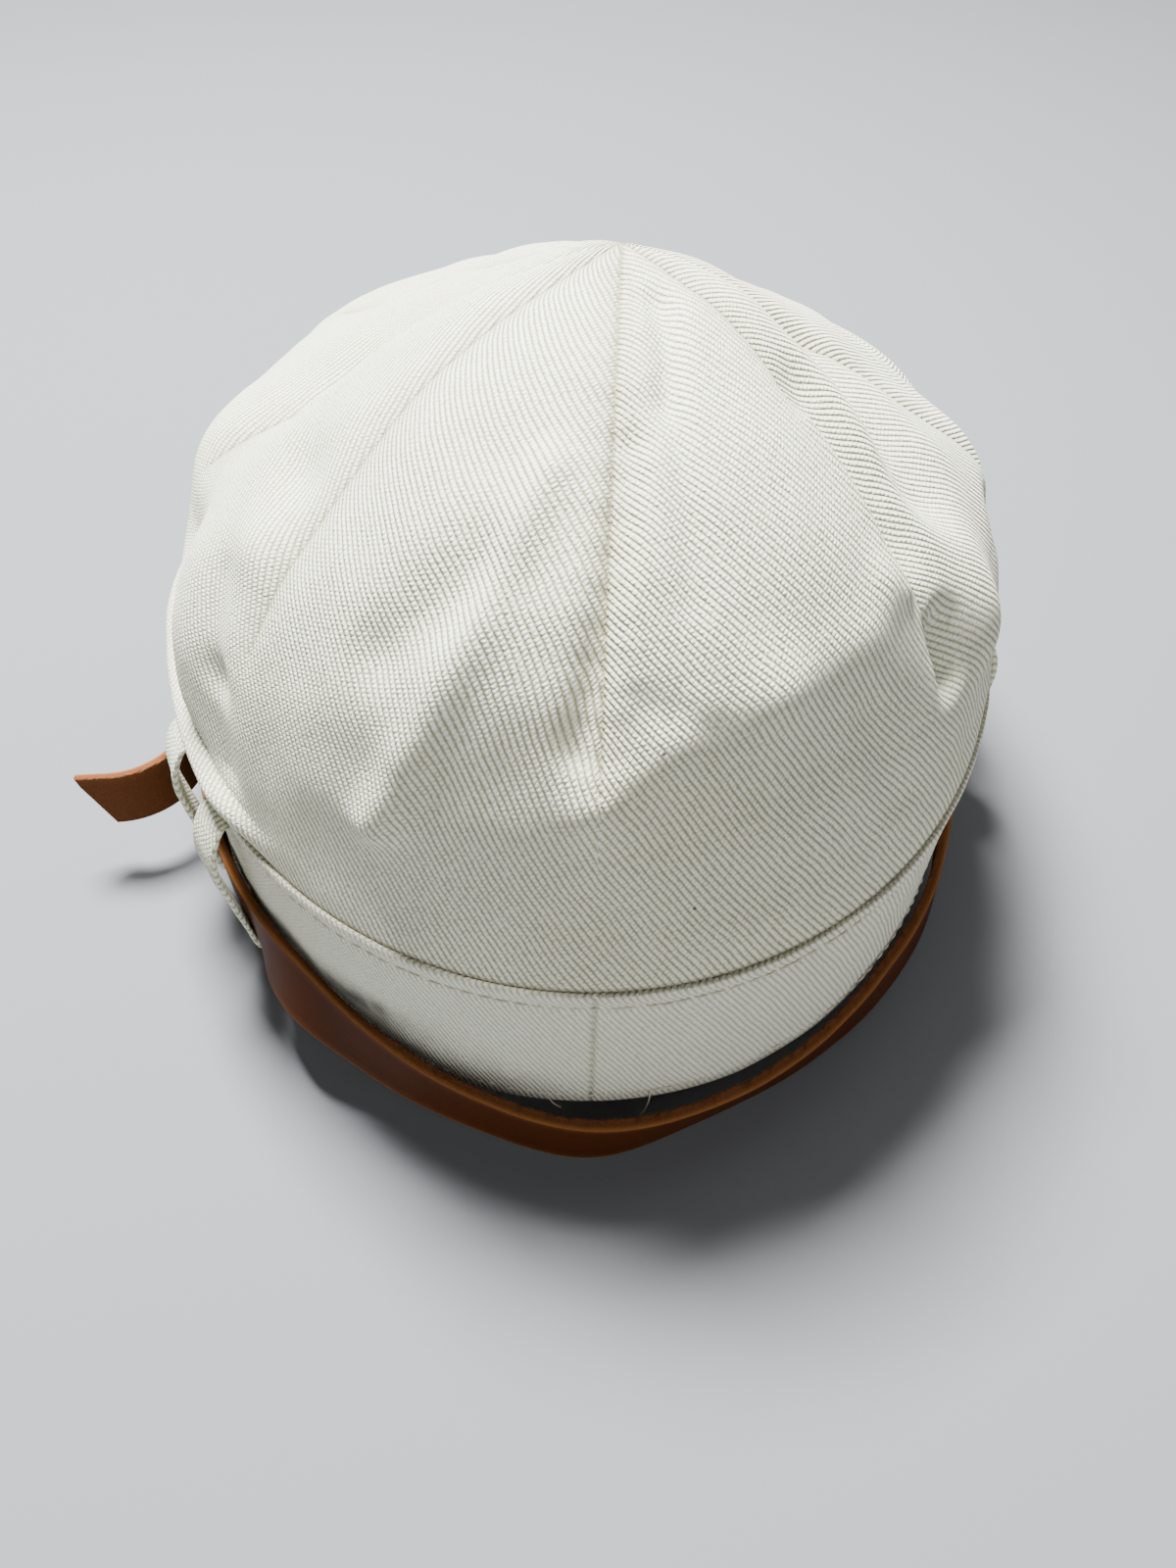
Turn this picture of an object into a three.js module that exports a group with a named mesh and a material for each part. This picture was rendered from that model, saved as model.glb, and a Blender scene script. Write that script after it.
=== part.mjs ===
// A brimless cloth cap with a leather chin strap, at its real size in millimetres.
// The origin is the middle of the head opening, in the plane of the band's lower edge.
// +Z runs up through the crown, -Y is the back of the cap and +X its right side.
// "turn" is the way round the cap in degrees: 0 at the back, 90 at the right, 180 at the front.
// "down" is the way down the crown: 0 at the peak where the darts meet, 1 at the band.
import * as THREE from 'three';

// Sizes of the band
const band_half_width = 82.2;
const band_half_length = 100.7;
const band_height = 38.3;
const band_flare = 3.5;
const band_wall = 2.4;
const band_egg = 0.9;
const ridge_height = 2.8;
const ridge_proud = 0.8;

// Sizes of the crown
const cloth_wall = 1.6;
const crown_height = 124.6;
const crown_half_width = 82.3;
const crown_back_reach = 99.9;
const crown_front_reach = 110.1;
const shoulder_height = 62;
const back_shoulder_drop = 4.6;
const front_shoulder_rise = 4;
const peak_right = 4.9;
const peak_back = 12;
const shoulder_down = 0.68;
const round_back = 2.0;
const round_side = 1.275;
const round_front = 0.95;
const bag_depth = 1.6;
const ease_reach = 0.1;
const peak_ease = 0.2;
const rim_ease = 0.15;
const seam_gap = 0.3;
const seam_inset = 0.3;

// Sizes of the darts and folds
const dart_count = 8;
const dart_drift = 4;
const dart_depth = 0.5;
const dart_width = 4;
const dart_end = 0.56;
const gore_depth = 0.7;
const fold_depth = 3.2;
const fold_width = 11;
const fold_fade = 0.1;

// Sizes of the belt loops
const loop_width = 9;
const loop_thickness = 1.3;
const loop_rise = 31;
const loop_drop = 2.2;
const loop_gap = 0.3;
const strap_play = 1;
const loop_sag = 0.7;
const loop_roundness = 0.3;
const rear_loop_turn = 55;
const front_loop_turn = 69;
const right_rear_loop_turn = 88;
const right_front_loop_turn = 102;

// Sizes of the chin strap and its keeper
const strap_width = 13;
const strap_thickness = 2;
const strap_gap = 0.8;
const strap_slack = 4.3;
const layer_gap = 0.3;
const keeper_turn = 270;
const keeper_width = 5;
const keeper_wall = 1;
const keeper_play = 0.3;
const tail_bend = 15;
const tail_sweep = 100;
const tail_straight = 7;
const tail_slant = 6;
const tail_drop = 2.5;

// How fine the grids are
const full_turn = 360;
const columns = 96;
const outer_rows = 24;
const inner_rows = 12;
const strap_step = 3.5;
const tail_steps = 10;

// Puffs and dents of the crown cloth, as rounded bumps.
// across and along are shares of fold_width, lift is a share of fold_depth.
const puffs = [
  { turn: -160, down: 0.3, across: 2.4, along: 2.2, lift: 0.8 },
  { turn: 160, down: 0.3, across: 2.2, along: 2.2, lift: -0.5 },
  { turn: 88, down: 0.6, across: 1.3, along: 1.0, lift: 0.8 },
  { turn: 84, down: 0.6, across: 0.45, along: 0.5, lift: -0.7 },
  { turn: -98, down: 0.55, across: 1.5, along: 1.2, lift: 0.9 },
  { turn: -84, down: 0.64, across: 1.0, along: 1.2, lift: -0.8 },
  { turn: -70, down: 0.92, across: 1.8, along: 1.0, lift: -0.8 },
  { turn: 58, down: 0.6, across: 0.6, along: 0.9, lift: 0.8 },
  { turn: 43, down: 0.44, across: 0.35, along: 0.45, lift: 0.45 },
  { turn: -19, down: 0.26, across: 0.9, along: 0.6, lift: -0.2 },
  { turn: -11, down: 0.56, across: 0.5, along: 0.8, lift: -0.3 },
  { turn: -60, down: 0.37, across: 0.9, along: 0.5, lift: -0.4 },
  { turn: -62, down: 0.24, across: 0.8, along: 0.6, lift: -0.35 },
  { turn: -57, down: 0.46, across: 0.7, along: 0.5, lift: 0.3 },
  { turn: 0, down: 0.57, across: 0.5, along: 0.5, lift: 0.45 },
  { turn: 22, down: 0.49, across: 0.8, along: 0.45, lift: 0.55 },
  { turn: 35, down: 0.47, across: 0.8, along: 0.4, lift: 0.3 },
  { turn: 120, down: 0.62, across: 1.6, along: 1.3, lift: 0.6 },
  { turn: 150, down: 0.7, across: 1.4, along: 1.4, lift: -0.4 },
  { turn: -140, down: 0.66, across: 1.6, along: 1.3, lift: 0.5 },
  { turn: 20, down: 0.85, across: 2.4, along: 1.3, lift: 0.3 },
];

// Ridges and creases of the crown cloth, each along a straight course on the cloth.
// width is a share of fold_width, lift is a share of fold_depth.
const creases = [
  { turn: -13, down: 0.3, to_turn: -26, to_down: 0.66, width: 0.36, lift: 0.55 },
  { turn: -24, down: 0.56, to_turn: -27, to_down: 0.68, width: 0.4, lift: 0.2 },
  { turn: -28, down: 0.46, to_turn: -17, to_down: 0.38, width: 0.5, lift: -0.38 },
  { turn: 3.5, down: 0.24, to_turn: -3, to_down: 0.51, width: 0.3, lift: -0.32 },
  { turn: 22, down: 0.1, to_turn: 13.5, to_down: 0.2, width: 0.28, lift: -0.35 },
  { turn: 14, down: 0.24, to_turn: 12, to_down: 0.38, width: 0.3, lift: -0.14 },
  { turn: -2, down: 0.58, to_turn: 12, to_down: 0.49, width: 0.4, lift: 0.35 },
  { turn: 5, down: 0.47, to_turn: 13, to_down: 0.5, width: 0.25, lift: -0.2 },
  { turn: 9, down: 0.6, to_turn: 30, to_down: 0.56, width: 0.7, lift: -0.3 },
  { turn: 73, down: 0.33, to_turn: 56, to_down: 0.42, width: 0.5, lift: -0.9 },
  { turn: 52, down: 0.52, to_turn: 52, to_down: 0.58, width: 0.35, lift: -1.0 },
  { turn: 36, down: 0.56, to_turn: 40, to_down: 0.76, width: 0.4, lift: -0.35 },
  { turn: -60, down: 0.52, to_turn: -55, to_down: 0.64, width: 0.45, lift: -0.5 },
  { turn: -55, down: 0.64, to_turn: -52, to_down: 0.84, width: 0.45, lift: -0.4 },
  { turn: -68, down: 0.56, to_turn: -63, to_down: 0.86, width: 0.8, lift: 0.5 },
  { turn: 100, down: 0.7, to_turn: 128, to_down: 0.84, width: 0.8, lift: 0.5 },
  { turn: -105, down: 0.72, to_turn: -132, to_down: 0.82, width: 0.8, lift: 0.5 },
  { turn: 172, down: 0.62, to_turn: -170, to_down: 0.86, width: 0.8, lift: -0.5 },
];

// Where the strap overlaps itself, its inner layer stands clear of the keeper's wall,
// and its outer layer clear of the inner one, as shares of strap_slack
const inner_layer = (keeper_wall + keeper_play) / strap_slack;
const outer_layer = inner_layer + (strap_thickness + layer_gap) / strap_slack;

// The strap's course round the cap, from its hidden end, past the back and the front, to the keeper.
// loose is a share of strap_slack, top a share of band_height, and lean in degrees, outwards below.
const course = [
  { turn: -98, loose: inner_layer, top: 0.35, lean: 0 },
  { turn: -85, loose: inner_layer, top: 0.35, lean: 0 },
  { turn: -75, loose: 0, top: 0.35, lean: 0 },
  { turn: -63, loose: 0, top: 0.35, lean: 0 },
  { turn: -56, loose: 0, top: 0.36, lean: 0 },
  { turn: -51, loose: 0, top: 0.375, lean: 2 },
  { turn: -45, loose: 0, top: 0.38, lean: 17 },
  { turn: -39, loose: 0.02, top: 0.36, lean: 24 },
  { turn: -30, loose: 0.16, top: 0.28, lean: 12 },
  { turn: -15, loose: 0.58, top: 0.165, lean: -3 },
  { turn: 0, loose: 1, top: 0.07, lean: -8 },
  { turn: 15, loose: 0.7, top: 0.05, lean: -22 },
  { turn: 30, loose: 0.3, top: 0.05, lean: -16 },
  { turn: 45, loose: 0.05, top: 0.075, lean: -3 },
  { turn: 60, loose: 0.15, top: 0.06, lean: 0 },
  { turn: 72, loose: 0.05, top: 0.1, lean: 2 },
  { turn: 84, loose: 0, top: 0.35, lean: 0 },
  { turn: 105, loose: 0, top: 0.35, lean: 0 },
  { turn: 250, loose: 0, top: 0.35, lean: 0 },
  { turn: 262, loose: outer_layer, top: 0.35, lean: 0 },
  { turn: 276, loose: outer_layer, top: 0.35, lean: 0 },
];

const radians = THREE.MathUtils.degToRad;

// A value of the table at a turn, by a smooth curve through its rows
function along(rows, key, turn) {
  const last = rows.length - 1;
  let i = 0;
  while (i < last - 1 && rows[i + 1].turn < turn) {
    i += 1;
  }
  const slope = (k) => {
    const before = rows[Math.max(k - 1, 0)];
    const after = rows[Math.min(k + 1, last)];
    return (after[key] - before[key]) / (after.turn - before.turn);
  };
  const span = rows[i + 1].turn - rows[i].turn;
  const u = THREE.MathUtils.clamp((turn - rows[i].turn) / span, 0, 1);
  const rise = rows[i + 1][key] - rows[i][key];
  const steady = rise === 0;
  const start = steady ? 0 : slope(i) * span;
  const end = steady ? 0 : slope(i + 1) * span;
  const bend = u * u * (3 - 2 * u) * rise;
  return rows[i][key] + bend + u * (1 - u) * ((1 - u) * start - u * end);
}

// A point that stands off the band's outer face, at a height above the lower edge
function byBand(turn, height, off) {
  const t = radians(turn);
  const egg = band_egg * Math.cos(3 * t);
  const lean = band_flare * height / band_height;
  const x = (band_half_width + egg + lean + off) * Math.sin(t);
  const y = -(band_half_length + egg + lean + off) * Math.cos(t);
  return new THREE.Vector3(x, y, height);
}

// The crown's pattern shape: a rounded tent from the peak to the shoulder,
// then a slack wall that hangs straight at the shoulder and bellies out above the band
function crownPattern(turn, down) {
  const t = radians(turn);
  const back = Math.max(Math.cos(t), 0);
  const front = Math.max(-Math.cos(t), 0);
  const reach = Math.cos(t) > 0 ? crown_back_reach : crown_front_reach;
  const rise = front_shoulder_rise * front * front - back_shoulder_drop * back * back;
  const side = crown_half_width * Math.sin(t);
  const shoulder = new THREE.Vector3(side, -reach * Math.cos(t), shoulder_height + rise);
  if (down <= shoulder_down) {
    const round = round_side + (round_back - round_side) * back + (round_front - round_side) * front;
    const a = down / shoulder_down * Math.PI / 2;
    const out = Math.pow(Math.sin(a), 2 / round);
    const up = Math.pow(Math.max(Math.cos(a), 0), 2 / round);
    const x = THREE.MathUtils.lerp(peak_right, shoulder.x, out);
    const y = THREE.MathUtils.lerp(-peak_back, shoulder.y, out);
    return new THREE.Vector3(x, y, THREE.MathUtils.lerp(shoulder.z, crown_height, up));
  }
  const v = (down - shoulder_down) / (1 - shoulder_down);
  const belly = bag_depth * Math.sin(Math.PI * v) * v;
  const foot = byBand(turn, band_height, -seam_inset);
  foot.z += seam_gap;
  const x = THREE.MathUtils.lerp(shoulder.x, foot.x, v * v) + belly * Math.sin(t);
  const y = THREE.MathUtils.lerp(shoulder.y, foot.y, v * v) - belly * Math.cos(t);
  return new THREE.Vector3(x, y, THREE.MathUtils.lerp(shoulder.z, foot.z, v));
}

// The crown without its folds: its pattern shape, eased over a short stretch of each line down it,
// so that the cloth turns softly at the shoulder
function plainCrown(turn, down) {
  const reach = ease_reach * Math.max(Math.min(down / peak_ease, 1, (1 - down) / rim_ease), 0);
  const eased = new THREE.Vector3();
  for (const [step, share] of [[-1, 0.15], [-0.5, 0.22], [0, 0.26], [0.5, 0.22], [1, 0.15]]) {
    eased.addScaledVector(crownPattern(turn, down + step * reach), share);
  }
  return eased;
}

// The way out of the plain crown's surface, at right angles to it, and level at the rim
function crownOut(turn, down) {
  const step = 0.01;
  const low = Math.min(down + step, 1);
  const high = Math.max(down - step, step / 2);
  const across = plainCrown(turn + 1, down).sub(plainCrown(turn - 1, down));
  const along_cloth = plainCrown(turn, low).sub(plainCrown(turn, high));
  const out = along_cloth.cross(across).normalize();
  out.z *= 1 - THREE.MathUtils.smoothstep(down, 1 - fold_fade, 1);
  return out.normalize();
}

const bell = (x) => Math.exp(-x * x);
const turnBetween = (a, b) => ((a - b + 1.5 * full_turn) % full_turn) - full_turn / 2;
const middle_reach = (crown_half_width + crown_back_reach) / 2;
const crown_run = crown_height + crown_half_width / 4;

// How far the cloth stands proud of the plain crown: darts, full gores, puffs and creases
function relief(turn, down) {
  const around = radians(1) * middle_reach * Math.sin(Math.min(down / shoulder_down, 1) * Math.PI / 2);
  const gore = full_turn / dart_count;
  const even = turn - dart_drift * Math.sin(2 * radians(turn));
  const off_dart = Math.abs(turnBetween(even, Math.round(even / gore) * gore));
  const dart_fade = THREE.MathUtils.smoothstep(dart_end - down, -0.04, 0.06) * Math.min(down / fold_fade, 1);
  const full = Math.sin(off_dart / gore * Math.PI);
  const dart = -dart_depth * bell(off_dart * around / dart_width);
  let lift = dart_fade * (dart + gore_depth * (full - 0.5));
  for (const puff of puffs) {
    const x = turnBetween(turn, puff.turn) * around / (puff.across * fold_width);
    const y = (down - puff.down) * crown_run / (puff.along * fold_width);
    lift += puff.lift * fold_depth * bell(Math.hypot(x, y));
  }
  for (const crease of creases) {
    const run_x = turnBetween(crease.to_turn, crease.turn) * around;
    const run_y = (crease.to_down - crease.down) * crown_run;
    const x = turnBetween(turn, crease.turn) * around;
    const y = (down - crease.down) * crown_run;
    const length = Math.hypot(run_x, run_y);
    const share = THREE.MathUtils.clamp((x * run_x + y * run_y) / (length * length), 0, 1);
    const away = Math.hypot(x - share * run_x, y - share * run_y);
    lift += crease.lift * fold_depth * bell(away / (crease.width * fold_width));
  }
  return lift * Math.min((1 - down) / fold_fade, 1);
}

// A closed mesh from its points and its faces, turned so that the faces point outwards
function solid(points, faces) {
  let volume = 0;
  for (const [a, b, c] of faces) {
    volume += points[a].dot(points[b].clone().cross(points[c]));
  }
  const outward = volume < 0 ? faces.map(([a, b, c]) => [a, c, b]) : faces;
  const geometry = new THREE.BufferGeometry().setFromPoints(points);
  geometry.setIndex(outward.flat());
  geometry.computeVertexNormals();
  return geometry;
}

// Outlines joined one after another along a course, with a cap at each end unless it closes on itself.
// Point i of an outline lies opposite point n - 1 - i, so a cap is a strip between its two halves.
function loft(outlines, closed) {
  const n = outlines[0].length;
  const points = outlines.flat();
  const faces = [];
  const last = closed ? outlines.length : outlines.length - 1;
  for (let k = 0; k < last; k += 1) {
    const here = k * n;
    const next = ((k + 1) % outlines.length) * n;
    for (let i = 0; i < n; i += 1) {
      const j = (i + 1) % n;
      faces.push([here + i, here + j, next + j], [here + i, next + j, next + i]);
    }
  }
  if (!closed) {
    const end = (outlines.length - 1) * n;
    for (let i = 0; i < n / 2 - 1; i += 1) {
      const a = n - 1 - i;
      faces.push([i, a, a - 1], [i, a - 1, i + 1]);
      faces.push([end + i, end + a - 1, end + a], [end + i, end + i + 1, end + a - 1]);
    }
  }
  return solid(points, faces);
}

// The crown is a wall of cloth: an outer skin with its folds, an inner skin, and a rim at the band
function crownGeometry() {
  const points = [];
  const faces = [];
  const ring = (down, off) => {
    const first = points.length;
    for (let i = 0; i < columns; i += 1) {
      const turn = i * full_turn / columns;
      const proud = relief(turn, down) + off;
      points.push(plainCrown(turn, down).addScaledVector(crownOut(turn, down), proud));
    }
    return first;
  };
  const join = (upper, lower) => {
    for (let i = 0; i < columns; i += 1) {
      const j = (i + 1) % columns;
      faces.push([upper + i, lower + i, lower + j], [upper + i, lower + j, upper + j]);
    }
  };
  const fan = (peak, first, flip) => {
    for (let i = 0; i < columns; i += 1) {
      const j = (i + 1) % columns;
      faces.push(flip ? [peak, first + j, first + i] : [peak, first + i, first + j]);
    }
  };
  const peak_at = (off) => {
    points.push(new THREE.Vector3(peak_right, -peak_back, crown_height + off));
    return points.length - 1;
  };
  const skin = (rows, off, flip) => {
    const peak = peak_at(off);
    let above = ring(1 / rows, off);
    fan(peak, above, flip);
    for (let k = 2; k <= rows; k += 1) {
      const below = ring(k / rows, off);
      if (flip) {
        join(below, above);
      } else {
        join(above, below);
      }
      above = below;
    }
    return above;
  };
  const outer_rim = skin(outer_rows, 0, false);
  const inner_rim = skin(inner_rows, -cloth_wall, true);
  join(outer_rim, inner_rim);
  return solid(points, faces);
}

// The band is one ring: a rounded lower edge, a plain wall and a standing ridge along the top
function bandGeometry() {
  const outlines = [];
  const ridge_foot = band_height - ridge_height;
  for (let i = 0; i < columns; i += 1) {
    const at = (height, off) => byBand(i * full_turn / columns, height, off);
    outlines.push([
      at(0, -band_wall * 0.35),
      at(band_wall * 0.4, 0),
      at(ridge_foot - ridge_proud, 0),
      at(ridge_foot + ridge_proud, ridge_proud),
      at(band_height, ridge_proud * 0.4),
      at(band_height, -band_wall),
      at(band_height - ridge_height / 2, -band_wall),
      at(band_height * 0.5, -band_wall),
      at(band_wall * 0.4, -band_wall),
      at(0, -band_wall * 0.75),
    ]);
  }
  return loft(outlines, true);
}

// A belt loop stands off the band just enough for the strap, and lies on it above and below
function loopGeometry(middle_turn) {
  const steps = 12;
  const belly = strap_gap + strap_thickness + strap_play;
  const half_turn = THREE.MathUtils.radToDeg(loop_width / 2 / middle_reach);
  const outlines = [];
  for (const side of [-1, -0.33, 0.33, 1]) {
    const turn = middle_turn + side * half_turn;
    const outer = [];
    const inner = [];
    for (let k = 0; k <= steps; k += 1) {
      const v = (1 - Math.cos(Math.PI * k / steps)) / 2;
      const height = THREE.MathUtils.lerp(-loop_drop, loop_rise, v);
      const bow = Math.pow(Math.sin(Math.PI * Math.pow(v, loop_sag)), loop_roundness);
      const off = loop_gap + (belly - loop_gap) * bow;
      inner.push(byBand(turn, height, off));
      outer.unshift(byBand(turn, height, off + loop_thickness));
    }
    outlines.push([...inner, ...outer]);
  }
  return loft(outlines, false);
}

// The four corners of the strap at a turn: upper inner, lower inner, lower outer, upper outer
function strapCorners(turn) {
  const off = strap_gap + strap_slack * along(course, 'loose', turn);
  const top = band_height * along(course, 'top', turn);
  const lean = radians(along(course, 'lean', turn));
  const corner = (low, thick) => {
    const out = strap_width * low * Math.sin(lean) + strap_thickness * thick * Math.cos(lean);
    const up = strap_thickness * thick * Math.sin(lean) - strap_width * low * Math.cos(lean);
    const at = byBand(turn, Math.max(top + up, 0), off + out);
    at.z = top + up;
    return at;
  };
  return [corner(0, 0), corner(1, 0), corner(1, 1), corner(0, 1)];
}

// The strap runs once round the cap, then its free end curls outwards and ends in a slanted cut
function strapGeometry() {
  const outlines = [];
  const first = course[0].turn;
  const last = course[course.length - 1].turn;
  const count = Math.round((last - first) / strap_step);
  for (let k = 0; k <= count; k += 1) {
    outlines.push(strapCorners(THREE.MathUtils.lerp(first, last, k / count)));
  }
  const root = outlines[count];
  const before = outlines[count - 1];
  const ahead = root[3].clone().sub(before[3]).setZ(0).normalize();
  const outward = new THREE.Vector3(ahead.y, -ahead.x, 0);
  const heading = outward.dot(root[3].clone().setZ(0)) > 0 ? outward : outward.negate();
  const place = (run) => {
    const bent = Math.min(run / tail_bend, radians(tail_sweep));
    const rest = Math.max(run - tail_bend * radians(tail_sweep), 0);
    const x = tail_bend * Math.sin(bent) + rest * Math.cos(bent);
    const y = tail_bend * (1 - Math.cos(bent)) + rest * Math.sin(bent);
    const on = new THREE.Vector3().addScaledVector(ahead, x).addScaledVector(heading, y);
    const side = ahead.clone().multiplyScalar(-Math.sin(bent)).addScaledVector(heading, Math.cos(bent));
    return { on, side };
  };
  const tail_run = tail_bend * radians(tail_sweep) + tail_straight;
  for (let k = 1; k <= tail_steps; k += 1) {
    const share = k / tail_steps;
    outlines.push(root.map((corner, i) => {
      const low = i === 1 || i === 2;
      const run = share * (tail_run - (low ? tail_slant : 0));
      const { on, side } = place(run);
      const inner = low ? root[1] : root[0];
      const thick = i > 1 ? strap_thickness : 0;
      const at = inner.clone().add(on).addScaledVector(side, thick);
      at.z = corner.z - tail_drop * share * share;
      return at;
    }));
  }
  return loft(outlines, false);
}

// The keeper is a flat leather ring round both layers of the strap
function keeperGeometry() {
  const first_layer = strapCorners(keeper_turn - full_turn);
  const second_layer = strapCorners(keeper_turn);
  const layer_foot = strap_gap + strap_slack * along(course, 'loose', keeper_turn - full_turn);
  const layer_face = strap_gap + strap_slack * along(course, 'loose', keeper_turn) + strap_thickness;
  const low = first_layer[1].z - keeper_play;
  const high = second_layer[0].z + keeper_play;
  const half_turn = THREE.MathUtils.radToDeg(keeper_width / 2 / middle_reach);
  const outlines = [];
  const bounds = [
    [layer_foot - keeper_play, low, 0],
    [layer_face + keeper_play, low, 0],
    [layer_face + keeper_play, high, 0],
    [layer_foot - keeper_play, high, 0],
  ];
  const grown = [
    [-keeper_wall / 2, -keeper_wall],
    [keeper_wall, -keeper_wall],
    [keeper_wall, keeper_wall],
    [-keeper_wall / 2, keeper_wall],
  ];
  for (let i = 0; i < bounds.length; i += 1) {
    const [off, height] = bounds[i];
    const [more_off, more_height] = grown[i];
    const at = (side, thick) => {
      const up = height + thick * more_height;
      const point = byBand(keeper_turn + side * half_turn, Math.max(up, 0), off + thick * more_off);
      point.z = up;
      return point;
    };
    outlines.push([at(-1, 0), at(-1, 1), at(1, 1), at(1, 0)]);
  }
  return loft(outlines, true);
}

const cap = new THREE.Group();

function add(name, geometry, colour, roughness) {
  const material = new THREE.MeshStandardMaterial({ color: colour, roughness, metalness: 0 });
  const mesh = new THREE.Mesh(geometry, material);
  mesh.name = name;
  cap.add(mesh);
}

const twill = '#e9e6dc';
const leather = '#6a330f';

add('crown', crownGeometry(), twill, 0.9);
add('band', bandGeometry(), twill, 0.9);
add('belt_loop_left_rear', loopGeometry(-rear_loop_turn), twill, 0.9);
add('belt_loop_left_front', loopGeometry(-front_loop_turn), twill, 0.9);
add('belt_loop_right_rear', loopGeometry(right_rear_loop_turn), twill, 0.9);
add('belt_loop_right_front', loopGeometry(right_front_loop_turn), twill, 0.9);
add('chin_strap', strapGeometry(), leather, 0.6);
add('strap_keeper', keeperGeometry(), leather, 0.6);

export default cap;
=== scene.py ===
# A brimless cloth cap with a leather chin strap, in metres.
# The origin is the middle of the head opening, in the plane of the band's lower edge.
# +Z runs up through the crown, -Y is the back of the cap and +X its right side.
# "turn" is the way round the cap in degrees: 0 at the back, 90 at the right, 180 at the front.
# "down" is the way down the crown: 0 at the peak where the darts meet, 1 at the band.
import math

import bpy
import numpy as np
from mathutils import Matrix


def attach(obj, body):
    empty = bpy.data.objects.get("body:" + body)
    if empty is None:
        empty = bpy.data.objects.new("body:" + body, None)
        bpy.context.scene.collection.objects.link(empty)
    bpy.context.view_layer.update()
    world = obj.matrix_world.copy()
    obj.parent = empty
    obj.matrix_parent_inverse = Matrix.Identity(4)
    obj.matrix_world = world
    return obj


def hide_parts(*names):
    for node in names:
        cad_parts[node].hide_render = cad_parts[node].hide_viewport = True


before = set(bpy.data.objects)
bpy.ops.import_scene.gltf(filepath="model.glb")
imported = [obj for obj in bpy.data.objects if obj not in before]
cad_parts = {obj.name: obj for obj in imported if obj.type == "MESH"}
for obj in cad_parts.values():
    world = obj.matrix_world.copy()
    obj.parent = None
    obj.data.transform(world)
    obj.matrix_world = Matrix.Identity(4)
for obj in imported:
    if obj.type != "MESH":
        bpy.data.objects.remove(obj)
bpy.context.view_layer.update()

# The camera looks down on the back of the cap at a slant, from where the photograph was taken.
mm = 0.001
camera_place = (-7.2 * mm, -252.3 * mm, 236.1 * mm)
camera_pan = math.radians(2.03)
camera_tilt = math.radians(45.16)
camera_roll = math.radians(-1.35)
lens_reach = 1500
picture_height = 1600
sensor_side = 36
nearest_seen = 10 * mm

camera = bpy.data.cameras.new("camera")
camera.lens = lens_reach / picture_height * sensor_side
camera.sensor_width = sensor_side
camera.clip_start = nearest_seen
camera_object = bpy.data.objects.new("camera", camera)
facing = Matrix.Rotation(-camera_pan, 4, "Z")
facing @= Matrix.Rotation(math.pi / 2 - camera_tilt, 4, "X")
facing @= Matrix.Rotation(-camera_roll, 4, "Z")
camera_object.matrix_world = Matrix.Translation(camera_place) @ facing
bpy.context.scene.collection.objects.link(camera_object)
bpy.context.scene.camera = camera_object


# The crown is one layer of heavy cotton twill, shaped by eight sewn darts that meet at the peak.
# Its slack lower wall hangs over the band's seam in soft folds. It is sewn to the top of the band.
band_half_width = 82.2 * mm
band_half_length = 100.7 * mm
band_height = 38.3 * mm
band_flare = 3.5 * mm
band_egg = 0.9 * mm
cloth_wall = 1.6 * mm
crown_height = 124.6 * mm
crown_half_width = 82.3 * mm
crown_back_reach = 99.9 * mm
crown_front_reach = 110.1 * mm
shoulder_height = 62 * mm
back_shoulder_drop = 4.6 * mm
front_shoulder_rise = 4 * mm
peak_right = 4.9 * mm
peak_back = 12 * mm
shoulder_down = 0.68
round_back = 2.0
round_side = 1.275
round_front = 0.95
bag_depth = 1.6 * mm
ease_reach = 0.1
ease_from_peak = 0.2
ease_from_rim = 0.15
seam_gap = 0.3 * mm
seam_inset = 0.3 * mm
dart_count = 8
dart_depth = 0.5 * mm
dart_width = 4 * mm
dart_end = 0.56
gore_depth = 0.7 * mm
fold_depth = 3.2 * mm
fold_width = 11 * mm
middle_reach = (crown_half_width + crown_back_reach) / 2
crown_run = crown_height + crown_half_width / 4
gore = 360 / dart_count
dart_drift = 4
hang_start = 40
hang_full = 54
hang_fall = 85
hang_end = 110
hang_depth = 3 * mm
hang_rise = 0.1
rim_reach = 0.1
peak_reach = 0.1
turn_rounds = 8
hollow_past = 0.04
hollow_full = 0.06

# Puffs and dents: turn, down, shares of the fold width across and along, share of the fold depth
puffs = [
    (-160, 0.3, 2.4, 2.2, 0.8),
    (160, 0.3, 2.2, 2.2, -0.5),
    (92, 0.54, 1.5, 1.2, 1.4),
    (84, 0.6, 0.45, 0.5, -0.7),
    (-98, 0.55, 1.5, 1.2, 0.9),
    (-84, 0.64, 1.0, 1.2, -0.8),
    (-70, 0.92, 1.8, 1.0, -0.8),
    (62, 0.58, 0.85, 1.3, 1.3),
    (43, 0.44, 0.35, 0.45, 0.45),
    (-19, 0.26, 0.9, 0.6, -0.2),
    (-11, 0.56, 0.5, 0.8, -0.3),
    (-60, 0.38, 0.9, 0.45, -0.7),
    (-86, 0.36, 0.8, 0.6, -0.6),
    (-56, 0.46, 0.7, 0.45, 0.55),
    (0, 0.57, 0.5, 0.5, 0.45),
    (22, 0.49, 0.75, 0.45, 0.7),
    (35, 0.47, 0.8, 0.4, 0.3),
    (120, 0.62, 1.6, 1.3, 0.6),
    (150, 0.7, 1.4, 1.4, -0.4),
    (-140, 0.66, 1.6, 1.3, 0.5),
    (20, 0.85, 2.4, 1.3, 0.3),
]

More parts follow.
